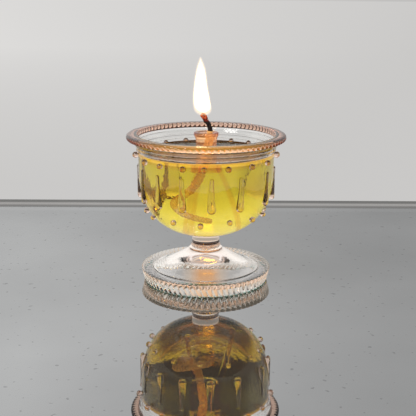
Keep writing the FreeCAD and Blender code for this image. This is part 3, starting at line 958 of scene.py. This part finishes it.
def flame_shell(name, colour, strength, cover, inset, lift):
    """One skin of the flame, inset from its outline, with its foot lifted."""
    rows_made = curve_through(flame_outline, 5)
    top, foot_at = rows_made[-1][0], rows_made[0][0]
    points = []
    rows = []
    for i, (height, middle, half) in enumerate(rows_made):
        share = (height - foot_at) / (top - foot_at)
        level = height + lift * (1 - share) ** 3 - inset * 1.6 * share ** 2
        size = half - inset * min(1.0, half)
        if i in (0, len(rows_made) - 1):
            rows.append([len(points)])
            points.append((middle, 0.0, rim_top + level))
            continue
        size = max(size, 0.02)
        row = []
        for j in range(40):
            turn = 2 * math.pi * j / 40
            row.append(len(points))
            points.append((middle + size * math.cos(turn), size * math.sin(turn),
                           rim_top + level))
        rows.append(row)
    return mesh_piece(name, points, strip(rows, True, False),
                      flame_material(name, colour, strength, cover))


flame_skins = (
    ("flame_fringe", (1.0, 0.62, 0.48), 0.035, 0.0, 0.0, 0.0),
    ("flame_glow", (1.0, 0.72, 0.42), 0.10, 0.03, 0.22, 0.2),
    ("flame_mantle", (1.0, 0.86, 0.55), 0.22, 0.12, 0.45, 0.6),
    ("flame_core", (1.0, 0.72, 0.42), 1.4, 0.35, 0.75, 1.8),
    ("flame_heart", (1.0, 0.62, 0.30), 5.0, 0.45, 1.15, 3.2),
)
for skin in flame_skins:
    made = flame_shell(*skin)
    place(made, "wick", "flame_light", "flame")

# Light of the flame
flame_lamp = bpy.data.lights.new("flame_lamp", "POINT")
flame_lamp.energy = 0.010
flame_lamp.color = (1.0, 0.62, 0.28)
flame_lamp.shadow_soft_size = 0.003
flame_light = bpy.data.objects.new("flame_lamp", flame_lamp)
flame_light.location = Vector((-2.4, 0.0, 90.0)) * METRE
flame_light.visible_camera = False
bpy.context.scene.collection.objects.link(flame_light)
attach(flame_light, "wick")

# Table top and what lies beyond it. Glass and oil show the table round the foot in painted flame
# light, then a painted dark stretch of it, then the pale ground beyond, which has painted light
# too.
pale = (0.60, 0.592, 0.582)
floor_material, nodes = new_material("floor")
spot = nodes.add("ShaderNodeNewGeometry").outputs["Position"]
x, y, z = nodes.parts(spot)
aside = nodes.math("ABSOLUTE", x)
reach = nodes.math("MAXIMUM", aside, nodes.math("ABSOLUTE", y))
straight, through, looked_at = nodes.rays()
smudge = nodes.noise(9, 4.0, vector=spot)
grain = nodes.noise(60, 5.0, vector=spot)
speck = nodes.noise(330, 1.0, vector=spot)
edge_colours = nodes.ramp(nodes.spread(y, 125.0, 155.0), [
    (0.0, (0.045, 0.045, 0.045)), (0.14, (0.10, 0.10, 0.10)), (0.30, (0.09, 0.09, 0.09)),
    (0.42, (0.21, 0.205, 0.20)), (0.52, (0.24, 0.235, 0.23)), (0.60, (0.40, 0.39, 0.38)),
    (0.72, (0.40, 0.39, 0.38)), (0.80, (0.19, 0.188, 0.182)), (1.0, (0.18, 0.178, 0.172)),
])
dull = nodes.add("ShaderNodeBsdfDiffuse", {
    "Color": nodes.tinted(edge_colours, nodes.spread(smudge, 0.3, 0.7, 0.9, 1.1))})
# Painted flame light: an orange streak along the middle, seen through glass and oil.
painted_flame_colour = nodes.ramp(nodes.spread(aside, 3.0, 12.0), [
    (0.0, (1.0, 0.56, 0.28)), (0.5, (0.86, 0.72, 0.60)), (1.0, (0.72, 0.71, 0.70))])
# Painted shade: beyond the foot, the table is dark to rays through glass.
near_foot = nodes.spread(reach, 40.0, 60.0, 1.0, 0.0)
painted_lit_table = nodes.add("ShaderNodeEmission", {
    "Color": nodes.blend(near_foot, (0.060, 0.036, 0.022), painted_flame_colour), "Strength": 0.68})
shine = nodes.add("ShaderNodeBsdfGlossy", {
    "Color": (0.95, 0.96, 0.96), "Roughness": nodes.spread(grain, 0.4, 0.7, 0.0, 0.03)})
facing = nodes.add("ShaderNodeLayerWeight", {"Blend": 0.5}).outputs["Facing"]
gloss = nodes.ramp(facing, [
    (0.0, (0.04, 0.04, 0.04)), (0.38, (0.20, 0.20, 0.20)), (0.52, (0.46, 0.46, 0.46)),
    (0.74, (0.52, 0.52, 0.52)), (0.90, (0.62, 0.62, 0.62)), (1.0, white),
])
mirroring = nodes.times(gloss, nodes.spread(smudge, 0.35, 0.65, 0.93, 1.05),
                        nodes.spread(through, 0.0, 1.0, 1.0, 0.08),
                        nodes.spread(speck, 0.70, 0.73, 1.0, 0.72),
                        nodes.spread(y, 134.5, 137.0, 1.0, 0.10))
table_top = nodes.mixed(mirroring, nodes.mixed(through, dull, painted_lit_table), shine)
heading = nodes.add("ShaderNodeVectorMath", {0: spot}, operation="NORMALIZE").outputs[0]
sideways = nodes.parts(heading, 1.0)[0]
# Painted light: the far ground is brighter towards the left.
brighter = nodes.times(nodes.spread(sideways, -0.5, 0.3, 0.30, 0.0),
                       nodes.spread(reach, 200.0, 1500.0))
plain_light = nodes.times(nodes.math("ADD", brighter, 0.98),
                          nodes.math("SUBTRACT", 1.0, through))
# Painted shade: seen through glass, the ground is darker to the sides, most to the right.
side_dark = nodes.math("MINIMUM", nodes.spread(sideways, 0.70, 0.90, 1.0, 0.35),
                       nodes.spread(sideways, -0.32, -0.20, 0.72, 1.0))
bent_light = nodes.times(side_dark, nodes.spread(reach, 150.0, 1000.0, 1.06, 1.28), through)
# Painted shade: seen in glass and mirrors, the ground in front is dimmed.
dim_front = nodes.math("MAXIMUM", nodes.spread(y, -400.0, -100.0, 0.40, 1.0), straight)
far_light = nodes.times(dim_front, nodes.math("ADD", plain_light, bent_light))
far_plain = nodes.add("ShaderNodeBsdfDiffuse", {"Color": pale})
far_seen = nodes.add("ShaderNodeEmission", {"Color": pale, "Strength": far_light})
far = nodes.mixed(looked_at, far_plain, far_seen)
table_reach = nodes.spread(through, 0.0, 1.0, 155.0, 145.0)
nodes.out(nodes.mixed(nodes.math("GREATER_THAN", reach, table_reach), table_top, far))
floor_mesh = bpy.data.meshes.new("floor")
half = 6.0
floor_mesh.from_pydata([(-half, -half, 0), (half, -half, 0), (half, half, 0), (-half, half, 0)],
                       [], [(0, 1, 2, 3)])
floor_mesh.materials.append(floor_material)
floor = bpy.data.objects.new("floor", floor_mesh)
bpy.context.scene.collection.objects.link(floor)

# World: pale to the eye near the horizon and plain light for the rest. Through glass and oil
# it is brighter above the horizon, brown above that and in the flame's colour overhead.
world = bpy.data.worlds.new("world")
bpy.context.scene.world = world
world.use_nodes = True
nodes = Nodes(world.node_tree)
straight, through, looked_at = nodes.rays()
x, y, z = nodes.parts(nodes.add("ShaderNodeTexCoord").outputs["Generated"], 1.0)
plain_sky = nodes.ramp(z, [
    (0.0, pale), (0.24, (0.58, 0.58, 0.58)), (0.40, (0.72, 0.72, 0.72)),
    (0.60, (0.66, 0.66, 0.66)), (0.80, (0.35, 0.32, 0.30)), (0.95, (0.9, 0.9, 0.9))])
even_sky = nodes.tinted(plain_sky, nodes.spread(x, -0.2, 0.2, 1.32, 0.88))
bent_sky = nodes.ramp(z, [
    (0.0, (0.66, 0.65, 0.64)), (0.12, (0.80, 0.79, 0.76)), (0.30, (0.96, 0.95, 0.92)),
    (0.56, (1.0, 0.98, 0.95)), (0.68, (0.80, 0.78, 0.72)), (0.76, (0.20, 0.11, 0.07)),
    (0.90, (0.12, 0.06, 0.035)), (0.965, (0.50, 0.20, 0.06)), (1.0, (1.0, 0.45, 0.15)),
])
seen_sky = nodes.add("ShaderNodeBackground", {
    "Color": nodes.blend(through, even_sky, nodes.tinted(bent_sky, (1.15, 1.15, 1.15))),
    "Strength": nodes.math("MAXIMUM", nodes.spread(y, -0.25, 0.05, 0.40, 1.0), straight)})
light_sky = nodes.add("ShaderNodeBackground", {"Color": white, "Strength": 0.55})
nodes.out(nodes.mixed(looked_at, light_sky, seen_sky), kind="ShaderNodeOutputWorld")

# Soft studio lamps
lamps = (
    ("key_lamp", (-0.55, -0.35, 0.85), 0.35, 3.2, (1.0, 0.98, 0.95)),
    ("fill_lamp", (0.60, -0.30, 0.50), 0.30, 1.2, (0.97, 0.98, 1.0)),
    ("back_lamp", (0.25, 0.70, 0.65), 0.25, 1.2, (1.0, 1.0, 1.0)),
)
for name, spot, size, power, colour in lamps:
    data = bpy.data.lights.new(name, "AREA")
    data.size = size
    data.energy = power
    data.color = colour
    lamp = bpy.data.objects.new(name, data)
    lamp.location = spot
    lamp.rotation_mode = "QUATERNION"
    lamp.rotation_quaternion = (Vector((0, 0, 0.05)) - Vector(spot)).to_track_quat("-Z", "Y")
    lamp.visible_camera = False
    lamp.visible_transmission = False
    lamp.visible_glossy = name == "key_lamp"
    bpy.context.scene.collection.objects.link(lamp)

scene = bpy.context.scene
scene.view_settings.view_transform = "Standard"
scene.cycles.max_bounces = 32
scene.cycles.transmission_bounces = 32
scene.cycles.transparent_max_bounces = 32
